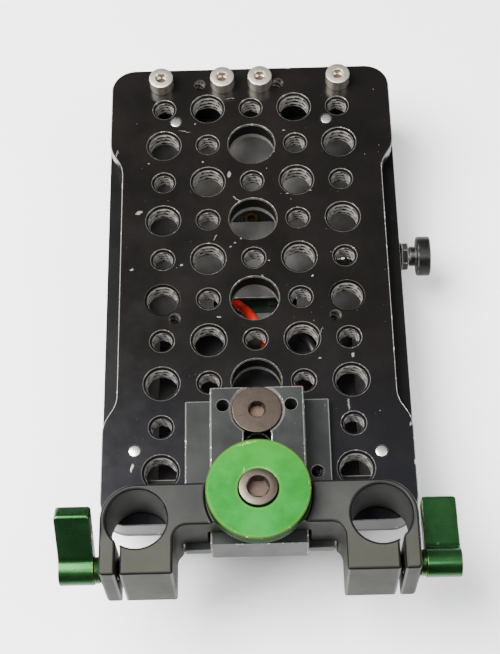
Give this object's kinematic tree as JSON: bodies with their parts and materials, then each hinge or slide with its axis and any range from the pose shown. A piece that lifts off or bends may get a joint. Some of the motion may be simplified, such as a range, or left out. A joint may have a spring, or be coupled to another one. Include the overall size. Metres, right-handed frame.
{
  "type": "battery cheese plate with rod clamp",
  "caption": "Black threaded accessory plate on a slim battery housing, with a sliding dual rod clamp, a round green lock knob, green clamp levers and a side release plunger.",
  "frame": {"origin": "under the middle of the object's box, on the surface that the battery side lies on", "axes": "+Y from the rod clamp to the screw row, along the plate; +X to the release plunger; +Z out of the threaded face"},
  "size_m": [0.1, 0.1614, 0.0536],
  "materials": {
    "plate_black": "black anodised, satin, chipped edges",
    "plastic_black": "moulded, fine grain",
    "floor_grey": "brushed bare sheet",
    "brass": "slightly tarnished",
    "board_green": "solder-masked board",
    "lead_red": "glossy insulated wire",
    "lead_black": "glossy insulated wire",
    "stainless": "machined stainless",
    "warm_steel": "worn steel with a faint rust tint",
    "clamp_grey": "hard anodised grey, satin",
    "knob_green": "bright green anodised, satin, worn spots",
    "lever_green": "deep green anodised",
    "knob_black": "smooth moulded"
  },
  "bodies": {
    "housing": {"cheese_plate": "plate_black", "side_wall_left": "plate_black", "side_wall_right": "plate_black", "top_end_cap": "plate_black", "bottom_end_cap": "plate_black", "battery_plate": "plastic_black", "inner_floor": "floor_grey", "contact_block": "plastic_black", "contact_blade_1": "brass", "contact_blade_2": "brass", "contact_blade_3": "brass", "contact_blade_4": "brass", "pcb": "board_green", "terminal_insert": "brass", "red_lead": "lead_red", "black_lead": "lead_black", "outlet_lead_red": "lead_red", "outlet_lead_black": "lead_black", "outlet_left": "plastic_black", "outlet_right": "plastic_black", "outlet_contact_left_1": "brass", "outlet_contact_left_2": "brass", "outlet_contact_right_1": "brass", "outlet_contact_right_2": "brass", "top_screw_1": "stainless", "top_screw_2": "stainless", "top_screw_3": "stainless", "top_screw_4": "stainless", "dowel_pin_1": "stainless", "dowel_pin_2": "stainless", "dowel_pin_3": "stainless", "dowel_pin_4": "stainless", "wall_screw_1": "stainless", "wall_screw_2": "stainless", "wall_screw_3": "stainless", "wall_screw_4": "stainless", "cap_screw_1": "stainless", "cap_screw_2": "stainless", "case_screw_1": "stainless", "case_screw_2": "stainless", "case_screw_3": "stainless", "case_screw_4": "stainless", "slider_rail": "clamp_grey", "rail_bolt": "warm_steel", "latch_bushing": "plate_black", "latch_spring": "stainless"},
    "clamp": {"rod_clamp_body": "clamp_grey", "t_nut": "stainless"},
    "lock": {"lock_knob": "knob_green", "lock_screw": "warm_steel"},
    "left_lever": {"lever_left": "lever_green", "lever_screw_left": "stainless"},
    "right_lever": {"lever_right": "lever_green", "lever_screw_right": "stainless"},
    "latch": {"latch_shaft": "stainless", "latch_knob": "knob_black", "latch_catch": "stainless"}
  },
  "joints": [
    {"name": "clamp_slide", "type": "slide", "parent": "housing", "child": "clamp", "axis": [0, 1, 0], "range_m": [-0.0045, 0.004]},
    {"name": "lock_turn", "type": "hinge", "parent": "clamp", "child": "lock", "pos_m": [0, -0.0612, 0.047], "axis": [0, 0, 1], "range_deg": [0, 360]},
    {"name": "left_lever_turn", "type": "hinge", "parent": "clamp", "child": "left_lever", "pos_m": [-0.045, -0.07655, 0.038], "axis": [-1, 0, 0], "range_deg": [0, 180]},
    {"name": "right_lever_turn", "type": "hinge", "parent": "clamp", "child": "right_lever", "pos_m": [0.045, -0.07655, 0.038], "axis": [1, 0, 0], "range_deg": [0, 180]},
    {"name": "latch_pull", "type": "slide", "parent": "housing", "child": "latch", "axis": [1, 0, 0], "range_m": [0, 0.0045], "stiffness_N_per_m": 800, "springref_m": -0.008, "deforming": ["latch_spring"]}
  ]
}
